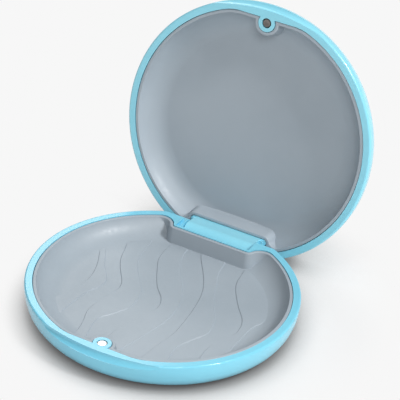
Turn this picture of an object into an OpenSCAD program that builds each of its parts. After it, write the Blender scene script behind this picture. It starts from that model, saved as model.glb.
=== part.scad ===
// Round hinged denture case: a moulded base and lid, each holding a soft tray,
// closed by a pair of small disc magnets and opening on a steel pin at the back.
// The frame stands at the centre of the flat foot, +Z up, hinge at +Y, magnets at -Y.
// The case is drawn as it stands when open, with the lid leaning back on its stop.

/* [Case] */
// Largest diameter across the bulge of both halves
outer_d = 87.6; // [80:0.2:100]
// Height of the base rim above the table
base_h = 10.6; // [10.2:0.1:13]
// Height of the lid over its own rim
lid_h = 10.2; // [10:0.1:13]
// Gap between the two rims when the case is shut
part_gap = 0.3; // [0.2:0.05:0.5]
// Depth of the widest point below each rim
bulge_drop = 1; // [0.6:0.1:2]
// Radius of the gently curved side wall
side_r = 14; // [12:0.5:20]
// Radius of the corner between the base's side wall and foot
base_corner_r = 7.6; // [5:0.1:8.4]
// Radius of the corner between the lid's side wall and back
lid_corner_r = 8.8; // [5:0.1:9]
// Wall thickness of the moulded halves
shell_t = 2; // [1.6:0.1:2.4]
// Rounding of the outer edge of the rim
rim_round = 0.6; // [0.3:0.1:0.8]

/* [Soft trays] */
// Width of the moulded rim from the bulge to the soft tray
rim_w = 2.5; // [2.4:0.1:4]
// Thickness of the soft tray
tray_t = 1.5; // [1.2:0.1:2]
// Depth of the base tray below its rim
base_tray_depth = 5.8; // [5:0.1:6.4]
// Depth of the lid tray below its rim
lid_tray_depth = 6; // [5:0.1:6.4]
// Width of the curved side of the trays, from the rim to the flat floor
tray_side_w = 9.8; // [8:0.1:13]
// Clearance between each soft tray and its shell
tray_gap = 0.12; // [0.08:0.01:0.2]
// Depth of the flattened front of the trays, in from their round edge
front_flat = 1.8; // [1.2:0.1:2.4]
// Radius that leads each end of the flattened front into the round edge
front_round = 20; // [14:1:24]
// Radii of the two rings that carry each tray
seat_rings = [14, 27];
// Width of each carrying ring
seat_ring_w = 1.2; // [0.8:0.1:2]

/* [Hinge] */
// Distance of the hinge axis in from the back of the bulge
axis_in = 5.4; // [5:0.1:6.2]
// Depth of the hinge axis below the base rim
axis_drop = 5.7; // [5.4:0.1:6]
// Angle between the two rims in the standing pose
open_angle = 101; // [92:1:104]
// Length of the steel pin
pin_l = 30; // [28:0.5:32]
// Diameter of the steel pin
pin_d = 2; // [1.6:0.1:2.4]
// Radial running clearance of the lug on the pin
pin_gap = 0.05; // [0.02:0.01:0.1]
// Width of the lid lug between the ears
lug_w = 24.2; // [22:0.2:24.4]
// Radius of the lug's barrel
lug_r = 3.85; // [3.6:0.05:4]
// Offset of the barrel's centre forward and up from the axis
lug_shift = 0.45; // [0.2:0.05:0.5]
// How far the lug's neck reaches behind the axis
neck_back = 2.6; // [2:0.1:3]
// Step from the lug's flat top down to the wider neck above the ears
neck_step = 0.35; // [0.2:0.05:0.6]
// Side clearance between lug and ears
ear_gap = 0.3; // [0.25:0.05:0.5]
// Width of each ear beside the lug
ear_w = 1.1; // [0.8:0.1:1.2]
// Step from the rim down to the top of the ears
ear_drop = 1; // [0.8:0.1:1.4]
// Radius of the rounded back edge about the hinge axis
relief_r = 4.7; // [4.4:0.1:5.2]
// Height of the sill under the lug
sill_h = 1.1; // [0.9:0.1:1.2]

/* [Hinge housings] */
// Front face of the base housing ahead of the hinge axis
base_box_front = 6.3; // [6:0.1:7.4]
// Thickness of the thin wall in front of the lug
lip_t = 0.8; // [0.7:0.1:1]
// Half width of the base housing
base_box_w = 14.4; // [14.2:0.1:16]
// Front face of the lid housing ahead of the hinge axis
lid_box_front = 4.3; // [3.8:0.1:4.6]
// Half width of the lid housing
lid_box_w = 14.1; // [13.8:0.1:15]
// Rounding of the housing corners
box_round = 1.2; // [1:0.1:1.4]
// Hollow curve that leads the base housing into the round rim
base_box_fillet = 5; // [3:0.1:6]
// Hollow curve that leads the lid housing into the round rim
lid_box_fillet = 2; // [1.8:0.1:3.4]

/* [Magnets] */
// Distance of the magnets in from the front of the bulge
magnet_in = 5.9; // [5.6:0.1:6.2]
// Diameter of each disc magnet
magnet_d = 3; // [2.6:0.1:3.2]
// Thickness of each disc magnet
magnet_t = 2; // [1.5:0.1:3]
// Radial glue gap round each magnet
magnet_gap = 0.15; // [0.1:0.05:0.2]
// Depth of each magnet's face below the rim
magnet_sink = 0.15; // [0.1:0.05:0.3]
// Radius of the round boss that holds each magnet
boss_r = 2.9; // [2.6:0.1:3.1]

/* [Thumb scoops] */
// Radius of the scoop's sweep round the front
scoop_sweep = 64.6; // [58:0.2:72]
// Distance of the scoop's near edge in from the front of the bulge
scoop_in = 1.7; // [1.2:0.1:2.2]
// Radius of the scoop's hollow
scoop_r = 1.7; // [1.4:0.1:2.4]
// Depth of the hollow's centre below the rim
scoop_sink = 0.3; // [0:0.1:0.6]

/* [Hidden] */
$fn = 96;
eps = 0.01;
outer_r = outer_d/2;
tray_r = outer_r - rim_w;
tray_floor_r = tray_r - tray_side_w;
front_flat_y = tray_r - front_flat;
axis_y = outer_r - axis_in;
base_box_y = axis_y - base_box_front;
lid_box_y = axis_y - lid_box_front;
magnet_y = outer_r - magnet_in;
scoop_edge_y = outer_r - scoop_in;
rim_z = base_h;
lid_rim_z = base_h + part_gap;
axis_z = rim_z - axis_drop;
// Distance from the hinge axis up to the rim of the shut lid
lid_axis_drop = axis_drop + part_gap;
stand_gap = 0.3;
slot_w = lug_w + 2*ear_gap;
shelf_w = slot_w + 2*ear_w;
neck_w = shelf_w - 2*ear_gap;
// Height over the hinge axis of the wider neck's underside
neck_z = max(axis_drop - ear_drop, relief_r) + ear_gap;
reach = outer_d;
// How far each fillet crosses the rim circle, so that the two never only touch
fillet_cross = 0.1;
shell_blue = [0.55, 0.84, 0.94];
tray_grey = [0.62, 0.67, 0.71];
magnet_silver = [0.86, 0.87, 0.88];
magnet_grey = [0.35, 0.34, 0.33];
pin_steel = [0.72, 0.73, 0.75];

// Outer profile of one half, rim at y = 0 and foot at y = -h, grown inward by t
module half_profile(h, corner_r, t = 0) {
    side_c = [outer_r - side_r, -bulge_drop];
    corner_z = -h + corner_r;
    corner_x = side_c[0] + sqrt(pow(side_r - corner_r, 2) - pow(corner_z - side_c[1], 2));
    meet = atan2(corner_z - side_c[1], corner_x - side_c[0]);
    touch = side_c + (side_r - t)*[cos(meet), sin(meet)];
    intersection() {
        translate([0, -h + t]) square([outer_r - t, h + t]);
        union() {
            intersection() {
                translate(side_c) circle(r = side_r - t);
                polygon([side_c, side_c + 2*side_r*[cos(meet), sin(meet)],
                         [2*outer_r, h], [side_c[0], h]]);
            }
            translate([corner_x, corner_z]) circle(r = corner_r - t);
            polygon([[0, -h + t], [corner_x, -h + t], [corner_x, corner_z], touch,
                     side_c, [side_c[0], h], [0, h]]);
        }
    }
}

// Tray profile at one distance inside the soft tray's back: flat floor and one arc to the rim
module bowl_profile(depth, t) {
    run = tray_r - tray_t - tray_floor_r;
    arc_r = (run*run + depth*depth)/(2*depth);
    arc_z = arc_r - depth;
    intersection() {
        translate([0, -depth - t]) square([tray_r, depth + t + 1]);
        union() {
            translate([0, -depth - t]) square([tray_floor_r, depth + t + 1]);
            translate([tray_floor_r, arc_z]) circle(r = arc_r + t);
        }
    }
}

// Plan of a tray opening, drawn in by a distance, round the housing and the magnet boss
module tray_plan(box_y, box_w, fillet, inset) {
    // Centres of the housing's round corner and of the hollow curve beside it
    bend = [box_w - box_round, box_y + box_round];
    hollow_r = tray_r - fillet + fillet_cross;
    span = box_round + fillet - fillet_cross;
    between = acos((pow(norm(bend), 2) + pow(hollow_r, 2) - pow(span, 2))/(2*norm(bend)*hollow_r));
    turn = atan2(bend[1], bend[0]) - between;
    hollow = hollow_r*[cos(turn), sin(turn)];
    // Centre of the curve at each end of the flattened front
    front_y = front_round - front_flat_y - fillet_cross;
    front_c = [sqrt(pow(tray_r - front_round + fillet_cross, 2) - pow(front_y, 2)), front_y];
    difference() {
        circle(r = tray_r - inset);
        translate([-bend[0], box_y - inset]) square([2*bend[0], reach]);
        translate([-reach/2, -front_flat_y + inset - reach]) square([reach, reach]);
        translate([0, -magnet_y]) circle(r = boss_r + inset);
        for (m = [0, 1]) mirror([m, 0]) {
            translate(bend) circle(r = box_round + inset);
            difference() {
                polygon([[0, bend[1]], bend, hollow, hollow*tray_r/hollow_r*1.02, [0, 2*tray_r]]);
                translate(hollow) circle(r = fillet - inset);
            }
            difference() {
                polygon([front_c, [front_c[0], -reach], front_c*reach/norm(front_c)]);
                translate(front_c) circle(r = front_round - inset);
            }
        }
    }
}

// Crescent hollow under the rim at the front, for a half whose rim is at z = 0
module thumb_scoop() {
    sweep_r = scoop_sweep;
    hollow_x = sqrt(pow(scoop_r, 2) - pow(scoop_sink, 2));
    translate([0, sweep_r - hollow_x - scoop_edge_y, -scoop_sink])
        rotate_extrude($fn = 192) translate([sweep_r, 0]) circle(r = scoop_r, $fn = 48);
}

// One half as a solid, rim at z = 0 and foot below, with its rim edge rounded
module half_body(h, corner_r) {
    rotate_extrude($fn = 192) intersection() {
        half_profile(h, corner_r);
        union() {
            translate([0, -h]) square([outer_r, h - rim_round]);
            translate([0, -h]) square([rim_edge() - rim_round, h]);
            translate([rim_edge() - rim_round, -rim_round]) circle(r = rim_round, $fn = 48);
        }
    }
}

// Radius of the outer wall at the level of the rim
function rim_edge() = outer_r - side_r + sqrt(pow(side_r, 2) - pow(bulge_drop, 2));

// Hollow of one half, following its wall, with the opening for the tray
module half_hollow(h, corner_r, box_y, box_w, fillet) {
    intersection() {
        rotate_extrude($fn = 192) half_profile(h, corner_r, shell_t);
        translate([0, 0, -h]) linear_extrude(h + 1) tray_plan(box_y, box_w, fillet, 0);
    }
}

// Rings on the shell's floor that carry the tray
module tray_seats(h, depth) {
    top = -depth - tray_t + tray_gap;
    for (r = seat_rings)
        translate([0, 0, -h + shell_t - 0.2])
            difference() {
                cylinder(r = r + seat_ring_w/2, h = top + h - shell_t + 0.2);
                translate([0, 0, -1]) cylinder(r = r - seat_ring_w/2, h = h);
            }
}

// Hole for one magnet, rim at z = 0
module magnet_hole() {
    depth = magnet_t + magnet_sink;
    translate([0, -magnet_y, -depth]) cylinder(d = magnet_d + 2*magnet_gap, h = depth + 1, $fn = 48);
}

// Shell of one half with its hollow, seats, magnet hole and scoop
module plain_shell(h, corner_r, depth, box_y, box_w, fillet) {
    difference() {
        half_body(h, corner_r);
        half_hollow(h, corner_r, box_y, box_w, fillet);
        magnet_hole();
        thumb_scoop();
    }
    tray_seats(h, depth);
}

// Soft tray of one half, rim at z = 0
module tray(depth, box_y, box_w, fillet) {
    difference() {
        intersection() {
            rotate_extrude($fn = 192) bowl_profile(depth, tray_t - tray_gap);
            translate([0, 0, -depth - tray_t])
                linear_extrude(depth + tray_t) tray_plan(box_y, box_w, fillet, tray_gap);
        }
        intersection() {
            rotate_extrude($fn = 192) bowl_profile(depth, 0);
            translate([0, 0, -depth])
                linear_extrude(depth + 1) tray_plan(box_y, box_w, fillet, tray_t);
        }
    }
}

// Cylinder along the hinge axis, at the axis
module on_axis(r, l, fn = 96) {
    rotate([0, 90, 0]) cylinder(r = r, h = l, center = true, $fn = fn);
}

module base_shell() {
    color(shell_blue) difference() {
        translate([0, 0, rim_z])
            plain_shell(base_h, base_corner_r, base_tray_depth, base_box_y, base_box_w,
                        base_box_fillet);
        // Shelf between the thin front wall and the rounded back edge
        translate([-shelf_w/2, base_box_y + lip_t, rim_z - ear_drop])
            cube([shelf_w, reach, base_h]);
        // Slot for the lug, open at the back
        translate([-slot_w/2, base_box_y + lip_t, sill_h]) cube([slot_w, reach, base_h]);
        // Rounded back edge that lets the lid swing
        translate([0, axis_y, axis_z]) difference() {
            translate([-reach/2, 0, 0]) cube([reach, reach, base_h]);
            on_axis(relief_r, 2*reach);
        }
        // Pin hole, blind at the left and open at the right
        translate([-pin_l/2, axis_y, axis_z]) rotate([0, 90, 0])
            cylinder(d = pin_d, h = reach, $fn = 48);
    }
}

module base_liner() {
    color(tray_grey) translate([0, 0, rim_z])
        tray(base_tray_depth, base_box_y, base_box_w, base_box_fillet);
}

module magnet() {
    cylinder(d = magnet_d, h = magnet_t, $fn = 48);
}

module base_magnet() {
    color(magnet_silver) translate([0, -magnet_y, rim_z - magnet_t - magnet_sink]) magnet();
}

// Turns a piece drawn on the shut lid about the hinge axis to the standing pose
module opened() {
    translate([0, axis_y, axis_z]) rotate([-open_angle, 0, 0]) translate([0, -axis_y, -axis_z])
        children();
}

// Puts a half drawn rim up onto the shut case as the lid
module as_lid() {
    translate([0, 0, lid_rim_z]) mirror([0, 0, 1]) children();
}

// Barrel and neck of the lid's lug, drawn round the hinge axis
module lug() {
    translate([0, axis_y, axis_z]) difference() {
        union() {
            translate([0, -lug_shift, lug_shift]) on_axis(lug_r, lug_w);
            translate([-lug_w/2, -lug_shift - lug_r, lug_shift])
                cube([lug_w, lug_shift + lug_r + neck_back, lid_axis_drop - lug_shift + 0.5]);
            // Wider neck that stands just clear of the ears
            translate([-neck_w/2, -lug_shift - lug_r + neck_step, neck_z])
                cube([neck_w, lug_shift + lug_r - neck_step + neck_back,
                      lid_axis_drop - neck_z + 0.5]);
        }
        on_axis(pin_d/2 + pin_gap, lug_w + 2, 48);
    }
}

// What the standing lid would press into the table, cut off the back of the shut lid
module stand_flat() {
    depth = axis_z - stand_gap;
    translate([0, axis_y, axis_z]) rotate([open_angle, 0, 0])
        translate([-reach/2, -reach, -depth - reach]) cube([reach, 2*reach, reach]);
}

module lid_shell() {
    color(shell_blue) opened() difference() {
        union() {
            as_lid() plain_shell(lid_h, lid_corner_r, lid_tray_depth, lid_box_y, lid_box_w,
                                 lid_box_fillet);
            lug();
        }
        stand_flat();
    }
}

module lid_liner() {
    color(tray_grey) opened() as_lid() tray(lid_tray_depth, lid_box_y, lid_box_w, lid_box_fillet);
}

module lid_magnet() {
    color(magnet_grey) opened() as_lid()
        translate([0, -magnet_y, -magnet_t - magnet_sink]) magnet();
}

module hinge_pin() {
    color(pin_steel) translate([0, axis_y, axis_z]) on_axis(pin_d/2, pin_l, 48);
}

base_shell();
base_liner();
base_magnet();
lid_shell();
lid_liner();
lid_magnet();
hinge_pin();
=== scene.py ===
# %% [markdown]
# A round case for dentures, made of two moulded plastic halves that open on a hinge.
# Each half holds a soft grey tray, and a small disc magnet at the front keeps the case shut.
# The engineering model comes first, because its sizes, its bodies and its hinge are already
# right. Everything that follows is placed by it and moves with it.

# %% Load the frame
import math

import bpy
from mathutils import Matrix, Vector


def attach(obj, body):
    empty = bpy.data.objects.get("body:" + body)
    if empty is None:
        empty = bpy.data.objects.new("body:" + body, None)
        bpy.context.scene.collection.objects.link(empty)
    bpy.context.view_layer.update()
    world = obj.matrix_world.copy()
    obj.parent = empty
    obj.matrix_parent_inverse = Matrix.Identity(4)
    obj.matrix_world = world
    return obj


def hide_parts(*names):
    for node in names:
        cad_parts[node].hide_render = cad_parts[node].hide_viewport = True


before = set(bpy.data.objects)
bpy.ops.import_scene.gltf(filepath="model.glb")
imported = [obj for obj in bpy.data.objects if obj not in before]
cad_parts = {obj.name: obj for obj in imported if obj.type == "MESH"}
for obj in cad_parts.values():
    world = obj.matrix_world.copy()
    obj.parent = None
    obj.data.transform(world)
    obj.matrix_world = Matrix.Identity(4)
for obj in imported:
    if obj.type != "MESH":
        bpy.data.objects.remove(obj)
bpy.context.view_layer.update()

# %% [markdown]
# All sizes below are real ones, written in millimetres and turned into metres. They repeat
# those of the engineering model, so that each new tray lies exactly where its plain one was.
# Heights are those of the shut case, whose rims stay a little apart.

# %% Sizes of the case
MM = 0.001
RIM_Z = 10.6 * MM
LID_RIM_Z = 10.9 * MM
AXIS_Y = 38.4 * MM
AXIS_Z = 4.9 * MM
OPEN_ANGLE = math.radians(101)
print("gap between the rims of the shut case", round((LID_RIM_Z - RIM_Z) / MM, 2), "mm")

# %% [markdown]
# The camera stands where the picture was taken from: a little to the right of the magnets and
# above the case, with a long lens, and rolled a few degrees. The place and the angles came from
# matching the two round rims, so the camera's axes are written out one by one.

# %% Camera
CAMERA_AZIMUTH = math.radians(26.497)
CAMERA_ELEVATION = math.radians(34.204)
CAMERA_DISTANCE = 638.8 * MM
AIM_AZIMUTH = math.radians(25.501)
AIM_ELEVATION = math.radians(31.739)
CAMERA_ROLL = math.radians(5.145)
CAMERA_LENS = 181.86
SENSOR_WIDTH = 36
NEAREST_SEEN = 10 * MM


def direction(azimuth, elevation):
    """Unit vector from the case towards a viewer at that azimuth and elevation."""
    return Vector((math.sin(azimuth) * math.cos(elevation),
                   -math.cos(azimuth) * math.cos(elevation),
                   math.sin(elevation)))


place = direction(CAMERA_AZIMUTH, CAMERA_ELEVATION) * CAMERA_DISTANCE + Vector((0, 0, RIM_Z))
back = direction(AIM_AZIMUTH, AIM_ELEVATION)
level_right = (-back).cross(Vector((0, 0, 1))).normalized()
level_up = level_right.cross(-back)
right = level_right * math.cos(CAMERA_ROLL) + level_up * math.sin(CAMERA_ROLL)
up = level_up * math.cos(CAMERA_ROLL) - level_right * math.sin(CAMERA_ROLL)
bpy.ops.object.camera_add(location=place)
camera = bpy.context.object
camera.name = "view_camera"
camera.matrix_world = Matrix.Translation(place) @ Matrix((right, up, back)).transposed().to_4x4()
camera.data.lens = CAMERA_LENS
camera.data.sensor_width = SENSOR_WIDTH
camera.data.clip_start = NEAREST_SEEN
bpy.context.scene.camera = camera
bpy.context.scene.view_settings.view_transform = "Standard"
print("camera at", [round(v, 3) for v in camera.location])

# %% [markdown]
# Blender's modelling tools act on whatever is selected, so each piece starts with nothing
# selected. Outlines are drawn point by point, the way a line is drawn by hand with the extrude
# tool, and then filled with one face.

# %% Drawing an outline
def clear_selection():
    """Object mode with nothing selected."""
    if bpy.context.object and bpy.context.object.mode == "EDIT":
        bpy.ops.object.mode_set(mode="OBJECT")
    bpy.ops.object.select_all(action="DESELECT")


def arc(centre, radius, start, end, steps):
    """Points on a circle from one angle to another, in degrees."""
    points = []
    for step in range(steps + 1):
        angle = math.radians(start + (end - start) * step / steps)
        points.append((centre[0] + radius * math.cos(angle), centre[1] + radius * math.sin(angle)))
    return points


def drawn_face(name, outline, z):
    """A flat face with that outline at one height, facing up, left in edit mode."""
    clear_selection()
    bpy.ops.mesh.primitive_plane_add(size=MM)
    piece = bpy.context.object
    piece.name = name
    bpy.ops.object.mode_set(mode="EDIT")
    bpy.ops.mesh.merge(type="CENTER")
    bpy.ops.transform.translate(value=(outline[0][0], outline[0][1], z))
    for here, there in zip(outline, outline[1:]):
        step = (there[0] - here[0], there[1] - here[1], 0)
        bpy.ops.mesh.extrude_vertices_move(TRANSFORM_OT_translate={"value": step})
    bpy.ops.mesh.select_all(action="SELECT")
    bpy.ops.mesh.edge_face_add()
    bpy.ops.object.mode_set(mode="OBJECT")
    upside_down = piece.data.polygons[0].normal.z < 0
    bpy.ops.object.mode_set(mode="EDIT")
    bpy.ops.mesh.select_all(action="SELECT")
    if upside_down:
        bpy.ops.mesh.flip_normals()
    return piece


print("a quarter circle in six steps has", len(arc((0, 0), 1, 0, 90, 6)), "points")

# %% [markdown]
# From such a face a solid grows ring by ring: an extrude goes straight along z, and an inset
# with a depth goes inwards and along z at once. When all rings are there, their faces are
# turned outwards. A Boolean then keeps what two solids share, or takes one out of the other.

# %% Growing, closing and combining solids
SAME_SPOT = 0.001 * MM


def stepped(steps):
    """Takes the selected face inwards and along z, one ring of faces for each step."""
    for inwards, along in steps:
        if inwards > 0:
            bpy.ops.mesh.inset(thickness=inwards, depth=along)
        else:
            bpy.ops.mesh.extrude_region_move(TRANSFORM_OT_translate={"value": (0, 0, along)})


def close_solid():
    """Turns all faces of the piece in edit mode outwards and goes back to object mode."""
    bpy.ops.mesh.select_all(action="SELECT")
    bpy.ops.mesh.remove_doubles(threshold=SAME_SPOT)
    bpy.ops.mesh.normals_make_consistent(inside=False)
    bpy.ops.object.mode_set(mode="OBJECT")


def combined(piece, tool, operation):
    """Applies a Boolean of a piece with a tool, and deletes the tool."""
    clear_selection()
    bpy.context.view_layer.objects.active = piece
    modifier = piece.modifiers.new("combined", "BOOLEAN")
    modifier.operation = operation
    modifier.solver = "MANIFOLD"
    modifier.object = tool
    bpy.ops.object.modifier_apply(modifier=modifier.name)
    bpy.data.objects.remove(tool)
    return piece


print("points within", SAME_SPOT / MM, "mm of each other become one")

# %% [markdown]
# A tray is a round dish of soft silicone. Seen from above, its edge is a circle that leaves
# room for the hinge housing at the back and for the magnet's round boss at the front, where the
# edge is also a little flattened. One function draws that edge, drawn in by any distance.

# %% Edge of a tray from above
TRAY_R = 41.3 * MM
BOX_ROUND = 1.2 * MM
MAGNET_Y = 37.9 * MM
BOSS_R = 2.9 * MM
FRONT_Y = 39.5 * MM
FRONT_ROUND = 20 * MM
BASE_BOX_Y = 32.1 * MM
BASE_BOX_W = 14.4 * MM
BASE_FILLET = 5 * MM
CORNER_STEPS = 12
EDGE_STEPS = 76
FRONT_STEPS = 8
BOSS_STEPS = 16


def tray_edge(box_y, box_w, fillet, inset):
    """Closed outline of a tray, starting at the middle of the hinge housing."""
    bend = Vector((box_w - BOX_ROUND, box_y + BOX_ROUND))
    hollow_reach = TRAY_R - fillet
    span = BOX_ROUND + fillet
    between = math.acos((bend.length ** 2 + hollow_reach ** 2 - span ** 2)
                        / (2 * bend.length * hollow_reach))
    turn = math.atan2(bend.y, bend.x) - between
    hollow = hollow_reach * Vector((math.cos(turn), math.sin(turn)))
    lean = math.degrees(math.atan2(hollow.y - bend.y, hollow.x - bend.x))
    front_y = FRONT_ROUND - FRONT_Y
    front = Vector((math.sqrt((TRAY_R - FRONT_ROUND) ** 2 - front_y ** 2), front_y))
    front_turn = math.degrees(math.atan2(front.y, front.x))
    boss_drop = inset - FRONT_Y + MAGNET_Y
    boss_start = math.degrees(math.asin(boss_drop / (BOSS_R + inset)))
    half = [(0, box_y - inset)]
    half += arc(bend, BOX_ROUND + inset, -90, lean, CORNER_STEPS)
    half += arc(hollow, fillet - inset, lean + 180, math.degrees(turn), CORNER_STEPS)[1:]
    half += arc((0, 0), TRAY_R - inset, math.degrees(turn), front_turn, EDGE_STEPS)[1:]
    half += arc(front, FRONT_ROUND - inset, front_turn, -90, FRONT_STEPS)[1:]
    half += arc((0, -MAGNET_Y), BOSS_R + inset, boss_start, 90, BOSS_STEPS)
    return half + [(-x, y) for x, y in reversed(half[1:-1])]


print("points on the base tray's edge", len(tray_edge(BASE_BOX_Y, BASE_BOX_W, BASE_FILLET, 0)))

# %% [markdown]
# The hollow of a tray has steep walls round the housing and the boss, and a wide round bowl
# everywhere else. Both are easy shapes on their own, and the hollow is what the two have in
# common, with the crease where they meet. The walls are the edge outline pushed down ring by
# ring, with a soft edge above and a small round foot below.

# %% Walls of the hollow
RIM_SINK = 0.1 * MM
RIM_SOFT = 0.3 * MM
WALL_DRAFT = 0.9 * MM
WALL_FOOT = 0.4 * MM
SOFT_STEPS = 5
OVERSHOOT = 1 * MM
UNDERCUT = 0.03 * MM


def quarter(radius, hollow):
    """Steps of a quarter round, as lengths inwards and down."""
    turns = [math.pi / 2 * step / SOFT_STEPS for step in range(SOFT_STEPS + 1)]
    if hollow:
        points = [(1 - math.cos(t), math.sin(t)) for t in turns]
    else:
        points = [(math.sin(t), 1 - math.cos(t)) for t in turns]
    return [((b[0] - a[0]) * radius, -(b[1] - a[1]) * radius) for a, b in zip(points, points[1:])]


def wall_solid(outline, depth):
    """The outline pushed down with a soft upper edge, slanting walls and a round foot."""
    piece = drawn_face("walls", outline, OVERSHOOT)
    stepped([(0, -OVERSHOOT - RIM_SINK)])
    stepped(quarter(RIM_SOFT, False))
    stepped([(WALL_DRAFT, RIM_SINK + RIM_SOFT + WALL_FOOT - depth)])
    stepped(quarter(WALL_FOOT, True))
    stepped([(0, -UNDERCUT)])
    close_solid()
    return piece


print("soft edge in", len(quarter(RIM_SOFT, False)), "rings")

# %% [markdown]
# The bowl starts as a circle at its widest and is taken inwards ring by ring along one arc,
# until it reaches the flat floor. The same shape, a little bigger, is the tray's underside.

# %% Bowl of the hollow
FLOOR_R = 31.5 * MM
BOWL_STEPS = 20
ROUND_STEPS = 192


def bowl_solid(top_r, top_z, depth, lift):
    """A round bowl, flat inside FLOOR_R, whose side rises in one arc through a given point."""
    run = top_r - FLOOR_R
    rise = depth + top_z
    side = (run * run + rise * rise) / (2 * rise)
    start = math.degrees(math.asin((side - depth - lift) / side))
    curve = arc((FLOOR_R, side - depth), side, -start, -90, BOWL_STEPS)
    rings = [Vector(point) for point in curve]
    clear_selection()
    bpy.ops.mesh.primitive_circle_add(vertices=ROUND_STEPS, radius=rings[0].x, fill_type="NGON",
                                      location=(0, 0, rings[0].y + OVERSHOOT))
    piece = bpy.context.object
    piece.name = "bowl"
    bpy.ops.object.transform_apply(location=True)
    bpy.ops.object.mode_set(mode="EDIT")
    bpy.ops.mesh.select_all(action="SELECT")
    stepped([(0, -OVERSHOOT)])
    stepped([(a.x - b.x, b.y - a.y) for a, b in zip(rings, rings[1:])])
    close_solid()
    return piece


print("from a tray's edge to its flat floor", round((TRAY_R - FLOOR_R) / MM, 1), "mm")

# %% [markdown]
# The floor of the base tray has five low wavy bands, so that a wet denture doesn't stick to it.
# Each band lies between two flowing lines, whose points are listed in millimetres, from the
# housing towards the magnet.

# %% Lines of the bands
BANDS = (
    (((-32.5, 16), (-30.5, 12.5), (-27.5, 6), (-25.5, -1), (-25.5, -8), (-27, -14), (-30, -20)),
     ((-30.5, 17), (-28, 12.5), (-24.5, 6), (-20.5, 0.5), (-19.5, -4), (-21.5, -10.5),
      (-22.5, -18.5), (-22.5, -27))),
    (((-26.5, 24), (-24.5, 19), (-22.5, 12.5), (-19.5, 7), (-15.5, 1), (-14.5, -3.5),
      (-15.5, -9.5), (-16.5, -18), (-14.5, -25), (-13, -33)),
     ((-19, 28.5), (-18.5, 23.5), (-17.5, 16), (-14.5, 10), (-10, 4), (-7, -1), (-6, -9),
      (-8.5, -15.5), (-11, -20), (-11, -25), (-8.5, -34))),
    (((-12.5, 31.5), (-13, 28), (-12.5, 20.5), (-9.5, 13.5), (-5, 5.5), (-0.5, 0), (1, -5),
      (-0.5, -11.5), (-3, -19), (-4, -26), (-3.5, -34)),
     ((-7, 31.5), (-6.5, 27), (-5, 21.5), (-2, 16), (2.5, 9), (6, 1.5), (7, -9), (5, -20.5),
      (2, -34))),
    (((-3, 31.5), (-0.5, 27), (4, 20), (8, 12.5), (10.5, 3), (12, -12.5), (11, -21), (9.5, -34)),
     ((7, 31.5), (7.5, 28), (8.5, 22.5), (11.5, 15), (15, 7), (19.5, -1), (21, -8),
      (18.5, -14.5), (16.5, -20.5), (17.5, -28), (19, -32))),
    (((14, 31.5), (14.5, 27.5), (15.5, 21.5), (17.5, 17), (22, 10), (26.5, 4), (28, -1.5),
      (27.5, -6), (25, -12.5), (24.5, -18), (25.5, -27)),
     ((24.5, 28), (29, 21), (33, 9), (31.2, 2), (31, -5), (31, -12), (33, -17))),
)
print("bands", len(BANDS))

# %% [markdown]
# A smooth curve runs through the points of each line. A band is then a flat step only a quarter
# of a millimetre high, with a slanting edge that catches the light, and its ends run under the
# rising side of the bowl, where they fade out by themselves.

# %% One band
BAND_ROOT = 0.3 * MM
BAND_RISE = 0.25 * MM
BAND_SLOPE = 0.25 * MM
LINE_STEPS = 5


def flowing_line(points):
    """Points along a smooth curve through a few given ones, in metres."""
    ends = (points[0],) + points + (points[-1],)
    line = []
    for before, here, there, after in zip(ends, ends[1:], ends[2:], ends[3:]):
        for step in range(LINE_STEPS):
            t = step / LINE_STEPS
            spot = []
            for p, q, r, s in zip(before, here, there, after):
                bend = 2 * p - 5 * q + 4 * r - s
                twist = 3 * q - p - 3 * r + s
                spot.append((q + (r - p) * t / 2 + bend * t ** 2 / 2 + twist * t ** 3 / 2) * MM)
            line.append(tuple(spot))
    return line + [(points[-1][0] * MM, points[-1][1] * MM)]


def band_solid(left, right, floor_z):
    """One raised band as a solid that starts below the floor."""
    outline = flowing_line(left) + flowing_line(right)[::-1]
    piece = drawn_face("band", outline, floor_z - BAND_ROOT)
    stepped([(0, BAND_ROOT), (BAND_SLOPE, BAND_RISE)])
    close_solid()
    return piece


print("points on the first line", len(flowing_line(BANDS[0][0])))

# %% [markdown]
# The tray itself is the same two shapes a little bigger, with the hollow taken out of them.
# It is drawn lying flat with its rim at height zero, and then turned into place.

# %% Whole tray
TRAY_GAP = 0.15 * MM
RIM_FACE = 1.25 * MM
TRAY_FLOOR = 1.39 * MM
EDGE_DEPTH = 1.4 * MM
UNDERSIDE_R = 41.5 * MM
UNDERSIDE_LIFT = 1 * MM
HOLLOW_LIFT = 0.7 * MM
HOLLOW_FILLET = 3 * MM
BASE_DEPTH = 5.8 * MM
LID_BOX_Y = 34.1 * MM
LID_BOX_W = 14.1 * MM
LID_FILLET = 2 * MM
LID_DEPTH = 6 * MM


def soft_tray(name, box_y, box_w, fillet, depth, bands):
    """One soft tray with its rim at height zero."""
    outside = drawn_face(name, tray_edge(box_y, box_w, fillet, TRAY_GAP), -depth - EDGE_DEPTH)
    stepped([(0, depth + EDGE_DEPTH - RIM_SINK - RIM_SOFT)])
    stepped([(inwards, -along) for inwards, along in quarter(RIM_SOFT, True)])
    close_solid()
    underside = bowl_solid(UNDERSIDE_R, 0, depth + TRAY_FLOOR, UNDERSIDE_LIFT)
    combined(outside, underside, "INTERSECT")
    inset = RIM_FACE - RIM_SOFT
    outline = tray_edge(box_y, box_w, max(fillet, HOLLOW_FILLET + inset), inset)
    inside = wall_solid(outline, depth)
    bowl = bowl_solid(TRAY_R - RIM_FACE, -RIM_SINK - RIM_SOFT, depth, HOLLOW_LIFT)
    combined(inside, bowl, "INTERSECT")
    for left, right in bands:
        combined(inside, band_solid(left, right, -depth), "DIFFERENCE")
    return combined(outside, inside, "DIFFERENCE")


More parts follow.
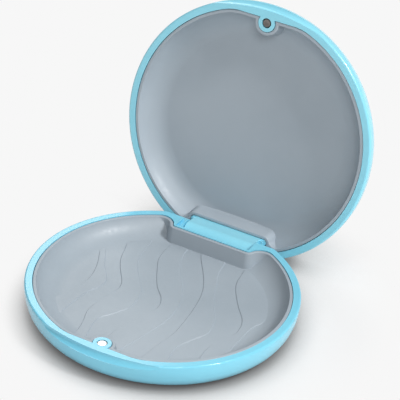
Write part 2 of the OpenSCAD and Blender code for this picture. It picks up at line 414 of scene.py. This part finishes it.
base_tray = soft_tray("base_tray", BASE_BOX_Y, BASE_BOX_W, BASE_FILLET, BASE_DEPTH, BANDS)
lid_tray = soft_tray("lid_tray", LID_BOX_Y, LID_BOX_W, LID_FILLET, LID_DEPTH, ())
for piece in (base_tray, lid_tray):
    size = [round(v / MM, 1) for v in piece.dimensions]
    print(piece.name, len(piece.data.polygons), "faces", size)

# %% [markdown]
# Each tray is moved to its half, and its place is kept in its mesh. The lid's tray is turned
# face down for a shut lid and then swings open about the hinge. Both replace the plain solids
# of the engineering model, and ride on the same bodies.

# %% Trays in their places
SMOOTH_BELOW = math.radians(35)


def settled(piece, placement):
    """Moves a piece into place, with its place kept in its mesh."""
    clear_selection()
    bpy.context.view_layer.objects.active = piece
    piece.select_set(True)
    piece.matrix_world = placement
    bpy.ops.object.transform_apply(location=True, rotation=True, scale=True)
    bpy.ops.object.shade_smooth_by_angle(angle=SMOOTH_BELOW)
    modifier = piece.modifiers.new("even_shading", "WEIGHTED_NORMAL")
    modifier.keep_sharp = True
    bpy.ops.object.modifier_apply(modifier=modifier.name)
    return piece


hinge = Matrix.Translation((0, AXIS_Y, AXIS_Z))
opened = hinge @ Matrix.Rotation(-OPEN_ANGLE, 4, "X") @ hinge.inverted()
over_base = Matrix.Translation((0, 0, RIM_Z))
as_lid = opened @ Matrix.Translation((0, 0, LID_RIM_Z)) @ Matrix.Rotation(math.pi, 4, "Y")

settled(base_tray, over_base)
settled(lid_tray, as_lid)
for piece, body, node in ((base_tray, "base", "base_liner"), (lid_tray, "lid", "lid_liner")):
    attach(piece, body)
    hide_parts(node)
    print(piece.name, "rides on", body)

# %% [markdown]
# The two magnets are small nickel plated discs, each in a round hole. A cylinder with a
# bevelled upper edge gives the disc's softly rounded edge, and the bevel and the side get a
# second, nearly black material: painted shade of the gap round the disc.

# %% Magnets
MAGNET_R = 1.5 * MM
MAGNET_T = 2.0 * MM
MAGNET_SINK = 0.15 * MM
MAGNET_SIDES = 64
BASE_RING = 0.18 * MM
LID_RING = 0.4 * MM
HAIR = 0.01 * MM


def disc_magnet(name, ring):
    """A disc whose upper face lies a little below the rim, which is at height zero."""
    clear_selection()
    bpy.ops.mesh.primitive_cylinder_add(vertices=MAGNET_SIDES, radius=MAGNET_R, depth=MAGNET_T,
                                        location=(0, -MAGNET_Y, -MAGNET_SINK - MAGNET_T / 2))
    piece = bpy.context.object
    piece.name = name
    bpy.ops.object.transform_apply(location=True)
    bpy.ops.object.mode_set(mode="EDIT")
    bpy.ops.mesh.select_mode(type="EDGE")
    bpy.ops.mesh.select_all(action="DESELECT")
    bpy.ops.object.mode_set(mode="OBJECT")
    for edge in piece.data.edges:
        heights = [piece.data.vertices[corner].co.z for corner in edge.vertices]
        edge.select = min(heights) > -MAGNET_SINK - HAIR
    bpy.ops.object.mode_set(mode="EDIT")
    bpy.ops.mesh.bevel(offset=ring, segments=SOFT_STEPS, affect="EDGES")
    bpy.ops.mesh.select_mode(type="FACE")
    bpy.ops.object.mode_set(mode="OBJECT")
    return piece


base_disc = settled(disc_magnet("base_disc", BASE_RING), over_base)
lid_disc = settled(disc_magnet("lid_disc", LID_RING), as_lid)
for piece, body, node in ((base_disc, "base", "base_magnet"), (lid_disc, "lid", "lid_magnet")):
    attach(piece, body)
    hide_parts(node)
    print(piece.name, len(piece.data.polygons), "faces")

# %% [markdown]
# Several finishes share the same small effects: the fine grain that a mould leaves, a slow
# drift of the colour, a painted highlight on edges broken into patches like wear, painted
# shade in corners, and dust that settles on what faces up.
# Each effect is a node group, made once, that gives a colour, a mask or a height. The helpers
# below make a group and the few kinds of node that it needs.

# %% Helpers for node groups
def effect(name, inputs, outputs):
    """An empty node group with named inputs, given as label, kind and value, and outputs."""
    tree = bpy.data.node_groups.new(name, "ShaderNodeTree")
    for label, kind, value in inputs:
        socket = tree.interface.new_socket(label, in_out="INPUT", socket_type=kind)
        socket.default_value = value
    for label, kind in outputs:
        tree.interface.new_socket(label, in_out="OUTPUT", socket_type=kind)
    return tree, tree.nodes.new("NodeGroupInput"), tree.nodes.new("NodeGroupOutput")


def math_node(tree, operation, first, second):
    """A Math node, whose inputs are numbers or the outputs of other nodes."""
    node = tree.nodes.new("ShaderNodeMath")
    node.operation = operation
    for socket, value in zip(node.inputs, (first, second)):
        if isinstance(value, (int, float)):
            socket.default_value = value
        else:
            tree.links.new(value, socket)
    return node.outputs[0]


def ranged(tree, value, low_in, high_in, low_out, high_out):
    """A Map Range node that turns one range into another."""
    node = tree.nodes.new("ShaderNodeMapRange")
    for label, number in (("From Min", low_in), ("From Max", high_in),
                          ("To Min", low_out), ("To Max", high_out)):
        node.inputs[label].default_value = number
    tree.links.new(value, node.inputs["Value"])
    return node.outputs["Result"]


def mixed(tree, factor, first, second):
    """A colour between two colours, which are RGB values or the outputs of other nodes."""
    node = tree.nodes.new("ShaderNodeMix")
    node.data_type = "RGBA"
    tree.links.new(factor, node.inputs["Factor"])
    for socket, value in ((node.inputs[6], first), (node.inputs[7], second)):
        if isinstance(value, tuple):
            socket.default_value = (*value, 1)
        else:
            tree.links.new(value, socket)
    return node.outputs[2]


print("node groups so far", len(bpy.data.node_groups))

# %% [markdown]
# All patterns read Object coordinates, so they stay on the piece when the lid moves. How
# enclosed a spot is comes from the Ambient Occlusion node, which looks round within a reach.

# %% Helpers for patterns and corners
def noise_node(tree, size, detail, roughness):
    """A Noise texture on Object coordinates, whose scale is a number or a socket."""
    place_node = tree.nodes.new("ShaderNodeTexCoord")
    node = tree.nodes.new("ShaderNodeTexNoise")
    node.inputs["Detail"].default_value = detail
    node.inputs["Roughness"].default_value = roughness
    tree.links.new(place_node.outputs["Object"], node.inputs["Vector"])
    if isinstance(size, (int, float)):
        node.inputs["Scale"].default_value = size
    else:
        tree.links.new(size, node.inputs["Scale"])
    return node.outputs["Fac"]


def openness(tree, reach, samples, own_piece_only=False):
    """How open a spot is, from 0 in a closed corner to 1 on a free surface."""
    node = tree.nodes.new("ShaderNodeAmbientOcclusion")
    node.samples = samples
    node.inputs["Distance"].default_value = reach
    node.only_local = own_piece_only
    return node.outputs["AO"]


print("a noise of scale 4000 has grains of about", 1 / (4000 * MM), "mm")

# %% [markdown]
# The grain is two noises on top of each other: a fine one, like the spark-eroded surface of a
# mould, and a broad one that bends reflections a little, as in every thin moulded wall. The
# drift moves slowly between a pale and a deep tone of the same colour.

# %% Mould grain and colour drift
mould_grain, given, result = effect(
    "mould_grain", [("Fine", "NodeSocketFloat", 4000.0), ("Broad", "NodeSocketFloat", 150.0)],
    [("Height", "NodeSocketFloat")])
fine = noise_node(mould_grain, given.outputs["Fine"], 3, 0.6)
broad = noise_node(mould_grain, given.outputs["Broad"], 2, 0.4)
swell = math_node(mould_grain, "MULTIPLY", broad, 4.0)
mould_grain.links.new(math_node(mould_grain, "ADD", fine, swell), result.inputs["Height"])

colour_drift, given, result = effect(
    "colour_drift", [("Size", "NodeSocketFloat", 40.0), ("Pale", "NodeSocketColor", (1, 1, 1, 1)),
                     ("Deep", "NodeSocketColor", (0.5, 0.5, 0.5, 1))],
    [("Color", "NodeSocketColor")])
slow = noise_node(colour_drift, given.outputs["Size"], 4, 0.55)
drift = ranged(colour_drift, slow, 0.35, 0.65, 0.0, 1.0)
colour_drift.links.new(mixed(colour_drift, drift, given.outputs["Deep"], given.outputs["Pale"]),
                       result.inputs["Color"])
print("grain and drift:", mould_grain.name, colour_drift.name)

# %% [markdown]
# The Bevel node looks round a small radius and gives the normal that a rounded edge would have.
# Where that differs from the true normal there is an edge, and a noise breaks the mask up.

# %% Painted highlight on edges
EDGE_REACH = 0.55 * MM
EDGE_SAMPLES = 8
edge_wear_and_highlight, given, result = effect(
    "edge_wear_and_highlight", [("Patches", "NodeSocketFloat", 300.0)], [("Mask", "NodeSocketFloat")])
rounded = edge_wear_and_highlight.nodes.new("ShaderNodeBevel")
rounded.samples = EDGE_SAMPLES
rounded.inputs["Radius"].default_value = EDGE_REACH
true_normal = edge_wear_and_highlight.nodes.new("ShaderNodeNewGeometry")
alike = edge_wear_and_highlight.nodes.new("ShaderNodeVectorMath")
alike.operation = "DOT_PRODUCT"
edge_wear_and_highlight.links.new(rounded.outputs["Normal"], alike.inputs[0])
edge_wear_and_highlight.links.new(true_normal.outputs["Normal"], alike.inputs[1])
# The edge mask paints edges paler, as a highlight broken into patches like wear.
edge = ranged(edge_wear_and_highlight, alike.outputs["Value"], 0.9, 0.72, 0.0, 1.0)
patches = ranged(edge_wear_and_highlight, noise_node(edge_wear_and_highlight, given.outputs["Patches"], 3, 0.6),
                 0.3, 0.6, 0.55, 1.0)
edge_wear_and_highlight.links.new(math_node(edge_wear_and_highlight, "MULTIPLY", edge, patches), result.inputs["Mask"])
print("edges are looked for within", EDGE_REACH / MM, "mm")

# %% [markdown]
# Dust lies mostly on what faces up. The upward part of the normal gives that share, and a
# noise with a lot of detail breaks it into specks.

# %% Settled dust
settled_dust, given, result = effect(
    "settled_dust", [("Specks", "NodeSocketFloat", 900.0), ("Amount", "NodeSocketFloat", 0.1)],
    [("Mask", "NodeSocketFloat")])
facing = settled_dust.nodes.new("ShaderNodeSeparateXYZ")
settled_dust.links.new(settled_dust.nodes.new("ShaderNodeNewGeometry").outputs["Normal"],
                       facing.inputs["Vector"])
upward = ranged(settled_dust, facing.outputs["Z"], 0.3, 1.0, 0.2, 1.0)
specks = ranged(settled_dust, noise_node(settled_dust, given.outputs["Specks"], 5, 0.75),
                0.52, 0.7, 0.0, 1.0)
lying = math_node(settled_dust, "MULTIPLY", upward, specks)
settled_dust.links.new(math_node(settled_dust, "MULTIPLY", lying, given.outputs["Amount"]),
                       result.inputs["Mask"])
print("dust of", settled_dust.name, "lies on faces that point up")

# %% [markdown]
# Hollows and corners get a deeper tone of the piece's colour, which is painted shade. Only
# walls of the piece itself count for that.

# %% Painted shade in corners
CORNER_REACH = 6 * MM
CORNER_SAMPLES = 12
painted_corner_shade, given, result = effect(
    "painted_corner_shade", [("Amount", "NodeSocketFloat", 0.5)], [("Mask", "NodeSocketFloat")])
enclosed = openness(painted_corner_shade, CORNER_REACH, CORNER_SAMPLES, own_piece_only=True)
corner = ranged(painted_corner_shade, enclosed, 0.95, 0.45, 0.0, 1.0)
painted_corner_shade.links.new(math_node(painted_corner_shade, "MULTIPLY", corner, given.outputs["Amount"]),
                       result.inputs["Mask"])
print("corners are looked for within", CORNER_REACH / MM, "mm")
print("effects:", [group.name for group in bpy.data.node_groups])

# %% [markdown]
# A finish starts as a Principled shader with its constant values set on the shader itself.
# The other helpers add an effect to a material, with its own values for the inputs, and turn
# a height into a bump.

# %% Starting a finish
def finish_start(name, roughness, metallic=0.0):
    """A new material, its node tree and its shader."""
    material = bpy.data.materials.new(name)
    material.use_nodes = True
    tree = material.node_tree
    shader = tree.nodes["Principled BSDF"]
    shader.inputs["Roughness"].default_value = roughness
    shader.inputs["Metallic"].default_value = metallic
    return material, tree, shader


def placed(tree, group, **values):
    """An effect in a material, with its own values."""
    node = tree.nodes.new("ShaderNodeGroup")
    node.node_tree = group
    for label, value in values.items():
        node.inputs[label].default_value = (*value, 1) if isinstance(value, tuple) else value
    return node


def bumped(tree, shader, height, depth):
    """Feeds a height, in units of depth, into the normal of a shader."""
    bump = tree.nodes.new("ShaderNodeBump")
    bump.inputs["Distance"].default_value = depth
    tree.links.new(height, bump.inputs["Height"])
    tree.links.new(bump.outputs["Normal"], shader.inputs["Normal"])


print("materials of the engineering model", len(bpy.data.materials))

# %% [markdown]
# The shells are polypropylene with a clean satin gloss. The edge mask mixes in a paler blue
# along edges as a painted highlight, and hollows such as the thumb scoop get a deeper blue as
# painted shade. The lid's blue is paler than the base's, which is painted light on the lid.
# The gloss changes only slowly and little, because a smooth moulding shows every blotch.

# %% Blue shells
SHELL_EDGE_HIGHLIGHT = (0.5, 0.82, 0.92)
SHELL_HIGHLIGHT_SHARE = 0.45
SHELL_CORNER_SHADE = (0.07, 0.44, 0.7)
DUST = (0.72, 0.74, 0.75)


def shell_plastic(name, pale, deep, corner_shade_amount):
    """Blue satin plastic in two close tones."""
    material, tree, shader = finish_start(name, 0.27)
    drift = placed(tree, colour_drift, Size=35.0, Pale=pale, Deep=deep)
    shaded_corners = placed(tree, painted_corner_shade, Amount=corner_shade_amount)
    edges = placed(tree, edge_wear_and_highlight, Patches=260.0)
    highlight_share = math_node(tree, "MULTIPLY", edges.outputs["Mask"], SHELL_HIGHLIGHT_SHARE)
    dust = placed(tree, settled_dust, Specks=800.0, Amount=0.008)
    # Painted shade in corners, then a painted highlight on edges.
    coloured = mixed(tree, shaded_corners.outputs["Mask"], drift.outputs["Color"], SHELL_CORNER_SHADE)
    coloured = mixed(tree, highlight_share, coloured, SHELL_EDGE_HIGHLIGHT)
    tree.links.new(mixed(tree, dust.outputs["Mask"], coloured, DUST), shader.inputs["Base Color"])
    tree.links.new(ranged(tree, noise_node(tree, 90.0, 2, 0.5), 0.3, 0.7, 0.25, 0.27),
                   shader.inputs["Roughness"])
    grain = placed(tree, mould_grain, Fine=3500.0, Broad=120.0)
    bumped(tree, shader, grain.outputs["Height"], 0.0018 * MM)
    shader.inputs["Coat Weight"].default_value = 0.4
    shader.inputs["Coat Roughness"].default_value = 0.12
    return material


base_blue = shell_plastic("base_blue", (0.23, 0.67, 0.845), (0.205, 0.63, 0.82), 0.6)
lid_blue = shell_plastic("lid_blue", (0.31, 0.76, 0.91), (0.285, 0.73, 0.89), 0.25)
print("blue finishes with", len(base_blue.node_tree.nodes), "nodes each")

# %% [markdown]
# The trays are silicone: matt to satin, a little blue, with a finer and drier grain than the
# shell. Silicone attracts dust and its colour is never quite even. Its edges are painted paler
# as a highlight, in patches like wear, and its corners darker as painted shade.

# %% Grey silicone
TRAY_EDGE_HIGHLIGHT = (0.57, 0.63, 0.69)
TRAY_CORNER_SHADE = (0.26, 0.31, 0.36)


def silicone(name, pale, deep):
    """Grey silicone in two close tones."""
    material, tree, shader = finish_start(name, 0.42)
    drift = placed(tree, colour_drift, Size=28.0, Pale=pale, Deep=deep)
    edges = placed(tree, edge_wear_and_highlight, Patches=220.0)
    dust = placed(tree, settled_dust, Specks=1100.0, Amount=0.05)
    shaded_corners = placed(tree, painted_corner_shade, Amount=0.35)
    # Painted shade in corners, then a painted highlight on edges.
    coloured = mixed(tree, shaded_corners.outputs["Mask"], drift.outputs["Color"], TRAY_CORNER_SHADE)
    coloured = mixed(tree, edges.outputs["Mask"], coloured, TRAY_EDGE_HIGHLIGHT)
    tree.links.new(mixed(tree, dust.outputs["Mask"], coloured, DUST), shader.inputs["Base Color"])
    tree.links.new(ranged(tree, noise_node(tree, 900.0, 4, 0.65), 0.3, 0.7, 0.36, 0.5),
                   shader.inputs["Roughness"])
    grain = placed(tree, mould_grain, Fine=5200.0, Broad=90.0)
    bumped(tree, shader, grain.outputs["Height"], 0.005 * MM)
    return material


# The lid's tray gets a slightly paler copy of the grey, which is painted light.
base_silicone = silicone("base_silicone", (0.385, 0.442, 0.49), (0.345, 0.402, 0.45))
lid_silicone = silicone("lid_silicone", (0.41, 0.468, 0.518), (0.37, 0.428, 0.478))
print("grey finishes:", base_silicone.name, lid_silicone.name)

# %% [markdown]
# Nickel plate has a soft shine with tiny pits and stains, and the lid's magnet has a duller,
# darker plate. The ring round a magnet is nearly black, as painted shade of the gap round it.

# %% Nickel plate and painted gap shade
def plated(name, pale, deep, roughness):
    """Nickel plate with small pits and stains."""
    material, tree, shader = finish_start(name, roughness, 1.0)
    drift = placed(tree, colour_drift, Size=700.0, Pale=pale, Deep=deep)
    tree.links.new(drift.outputs["Color"], shader.inputs["Base Color"])
    tree.links.new(ranged(tree, noise_node(tree, 2500.0, 4, 0.6), 0.3, 0.7, roughness - 0.08,
                          roughness + 0.12), shader.inputs["Roughness"])
    grain = placed(tree, mould_grain, Fine=6000.0, Broad=500.0)
    bumped(tree, shader, grain.outputs["Height"], 0.004 * MM)
    return material


bright_plate = plated("bright_plate", (0.84, 0.86, 0.85), (0.74, 0.75, 0.73), 0.3)
dull_plate = plated("dull_plate", (0.36, 0.33, 0.31), (0.22, 0.2, 0.19), 0.4)

painted_gap_shade, tree, shader = finish_start("painted_gap_shade", 0.5)
drift = placed(tree, colour_drift, Size=900.0, Pale=(0.06, 0.07, 0.07), Deep=(0.02, 0.02, 0.02))
tree.links.new(drift.outputs["Color"], shader.inputs["Base Color"])
grain = placed(tree, mould_grain, Fine=5000.0, Broad=800.0)
bumped(tree, shader, grain.outputs["Height"], 0.01 * MM)
print("magnet finishes:", bright_plate.name, dull_plate.name, painted_gap_shade.name)

# %% [markdown]
# The pin is drawn wire, so its marks run lengthwise: a noise whose coordinates are stretched
# along the pin gives both its streaks of colour and its scratches.

# %% Drawn wire
drawn_wire, tree, shader = finish_start("drawn_wire", 0.3, 1.0)
spot = tree.nodes.new("ShaderNodeTexCoord")
stretch = tree.nodes.new("ShaderNodeMapping")
stretch.inputs["Scale"].default_value = (0.04, 1, 1)
marks = tree.nodes.new("ShaderNodeTexNoise")
marks.inputs["Scale"].default_value = 5000
marks.inputs["Detail"].default_value = 4
tree.links.new(spot.outputs["Object"], stretch.inputs["Vector"])
tree.links.new(stretch.outputs["Vector"], marks.inputs["Vector"])
streaks = marks.outputs["Fac"]
tree.links.new(mixed(tree, streaks, (0.58, 0.59, 0.6), (0.74, 0.75, 0.76)),
               shader.inputs["Base Color"])
tree.links.new(ranged(tree, streaks, 0.3, 0.7, 0.24, 0.38), shader.inputs["Roughness"])
bumped(tree, shader, streaks, 0.004 * MM)
print("finishes:", [material.name for material in bpy.data.materials])

# %% [markdown]
# The finishes go on the pieces. On the magnets the flat face is plate, with the first ring of
# its rounded edge, which is still nearly flat. The rest of the edge and the side have the
# nearly black painted shade of the gap round them.

# %% Dressing the pieces
FLAT_ENOUGH = 0.97


def dress(piece, *materials):
    """Gives a piece its materials in place of what it has."""
    piece.data.materials.clear()
    for material in materials:
        piece.data.materials.append(material)


dress(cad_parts["base_shell"], base_blue)
dress(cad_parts["lid_shell"], lid_blue)
dress(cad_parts["hinge_pin"], drawn_wire)
dress(base_tray, base_silicone)
dress(lid_tray, lid_silicone)
MAGNET_AXES = ((base_disc, bright_plate, Vector((0, 0, 1))),
               (lid_disc, dull_plate, opened.to_3x3() @ Vector((0, 0, -1))))
for piece, plate, axis in MAGNET_AXES:
    dress(piece, plate, painted_gap_shade)
    for face in piece.data.polygons:
        face.material_index = 0 if face.normal.dot(axis) > FLAT_ENOUGH else 1
    flat = [face for face in piece.data.polygons if face.material_index == 0]
    print(piece.name, "has plate on", len(flat), "of", len(piece.data.polygons), "faces")

# %% [markdown]
# The case stands on a pale table. Where the two nearly touch, shadow is painted into the
# table's colour: an openness with a short reach gives the dark contact, and one with a longer
# reach adds the soft painted shade around it.

# %% Table and its painted shade
FLOOR_SIZE = 6.0
TABLE = 0.86
CONTACT_SHADOW_TONE = 0.1
CONTACT_REACH = 12 * MM
SHADE_REACH = 45 * MM
SHADE_SAMPLES = 16
clear_selection()
bpy.ops.mesh.primitive_plane_add(size=FLOOR_SIZE, location=(0, 0, 0))
floor = bpy.context.object
floor.name = "floor"
pale_table, tree, shader = finish_start("pale_table", 0.9)
shader.inputs["Specular IOR Level"].default_value = 0.1
drift = placed(tree, colour_drift, Size=6.0, Pale=(TABLE,) * 3, Deep=(TABLE - 0.01,) * 3)
touching = ranged(tree, openness(tree, CONTACT_REACH, SHADE_SAMPLES), 0.12, 0.58, 0.0, 1.0)
shaded = ranged(tree, openness(tree, SHADE_REACH, SHADE_SAMPLES), 0.42, 0.8, 0.45, 1.0)
lit = math_node(tree, "MULTIPLY", touching, shaded)
tree.links.new(mixed(tree, lit, (CONTACT_SHADOW_TONE,) * 3, drift.outputs["Color"]),
               shader.inputs["Base Color"])
dress(floor, pale_table)
print("table", [round(v, 1) for v in floor.dimensions], "m")

# %% [markdown]
# In a studio picture the table is one even pale tone. A glow of that tone stands in for it,
# seen by the camera and in reflections alone, so the case can mirror it but isn't lit by it.
# In a wide spot under the case, which reaches a little further to the right and to the back,
# the glow gives way in part to the lit table, which keeps the true shadow.

# %% Even tone of the table
BACKGROUND = 0.93
SHADOW_SHARE = 0.4
SHADOW_NEAR = 46 * MM
SHADOW_FAR = 62 * MM
SHADOW_SHIFT = (-12 * MM, -6 * MM, 0)
SHADOW_STRETCH = (1, 0.85, 1)
glow = tree.nodes.new("ShaderNodeEmission")
# The glow carries the same painted shadow near the case.
tree.links.new(mixed(tree, lit, (CONTACT_SHADOW_TONE,) * 3, (BACKGROUND,) * 3), glow.inputs["Color"])
spot = tree.nodes.new("ShaderNodeTexCoord")
centred = tree.nodes.new("ShaderNodeMapping")
centred.inputs["Location"].default_value = SHADOW_SHIFT
centred.inputs["Scale"].default_value = SHADOW_STRETCH
away = tree.nodes.new("ShaderNodeVectorMath")
away.operation = "LENGTH"
tree.links.new(spot.outputs["Object"], centred.inputs["Vector"])
tree.links.new(centred.outputs["Vector"], away.inputs[0])
fade = tree.nodes.new("ShaderNodeMapRange")
fade.interpolation_type = "SMOOTHSTEP"
fade.inputs["From Min"].default_value = SHADOW_NEAR
fade.inputs["From Max"].default_value = SHADOW_FAR
fade.inputs["To Min"].default_value = 1 - SHADOW_SHARE
tree.links.new(away.outputs["Value"], fade.inputs["Value"])
rays = tree.nodes.new("ShaderNodeLightPath")
seen = math_node(tree, "MAXIMUM", rays.outputs["Is Camera Ray"], rays.outputs["Is Glossy Ray"])
seen = math_node(tree, "MAXIMUM", seen, rays.outputs["Is Transmission Ray"])
both = tree.nodes.new("ShaderNodeMixShader")
tree.links.new(math_node(tree, "MULTIPLY", seen, fade.outputs["Result"]), both.inputs["Fac"])
tree.links.new(shader.outputs["BSDF"], both.inputs[1])
tree.links.new(glow.outputs["Emission"], both.inputs[2])
tree.links.new(both.outputs["Shader"], tree.nodes["Material Output"].inputs["Surface"])
print("the spot with the true shadow ends", round(SHADOW_FAR / MM), "mm from its middle")

# %% [markdown]
# The world is a soft, even light from everywhere that fills in the shadows. For the camera it
# has the tone of the table instead, so no horizon shows.

# %% World
WORLD_LEVEL = 0.26
world = bpy.data.worlds.new("studio")
world.use_nodes = True
tree = world.node_tree
soft = tree.nodes["Background"]
soft.inputs["Color"].default_value = (1, 1, 1, 1)
soft.inputs["Strength"].default_value = WORLD_LEVEL
shown = tree.nodes.new("ShaderNodeBackground")
shown.inputs["Color"].default_value = (BACKGROUND, BACKGROUND, BACKGROUND, 1)
rays = tree.nodes.new("ShaderNodeLightPath")
both = tree.nodes.new("ShaderNodeMixShader")
tree.links.new(rays.outputs["Is Camera Ray"], both.inputs["Fac"])
tree.links.new(soft.outputs["Background"], both.inputs[1])
tree.links.new(shown.outputs["Background"], both.inputs[2])
tree.links.new(both.outputs["Shader"], tree.nodes["World Output"].inputs["Surface"])
bpy.context.scene.world = world
print("world level", WORLD_LEVEL)

# %% [markdown]
# The light is plain and soft. The strongest lamp stands on the right, where the pale side of
# the lid's bowl points, a weaker one stands in front, and a third behind on the left draws out
# the edges.

# %% Lamps
LAMP_DISTANCE = 1.2
LAMP_AIM = Vector((0, 20 * MM, 30 * MM))


def soft_lamp(name, azimuth, elevation, size, power):
    """A square area lamp that looks at the case."""
    spot = direction(math.radians(azimuth), math.radians(elevation)) * LAMP_DISTANCE
    bpy.ops.object.light_add(type="AREA", location=spot + LAMP_AIM)
    lamp = bpy.context.object
    lamp.name = name
    lamp.data.shape = "SQUARE"
    lamp.data.size = size
    lamp.data.energy = power
    lamp.rotation_mode = "QUATERNION"
    lamp.rotation_quaternion = spot.to_track_quat("Z", "Y")
    return lamp


lamps = (soft_lamp("key_lamp", 90, 50, 0.2, 9.4),
         soft_lamp("front_lamp", 34, 40, 0.45, 4.6),
         soft_lamp("rim_lamp", 225, 40, 0.6, 3.4))
print("lamps", [lamp.name for lamp in lamps])
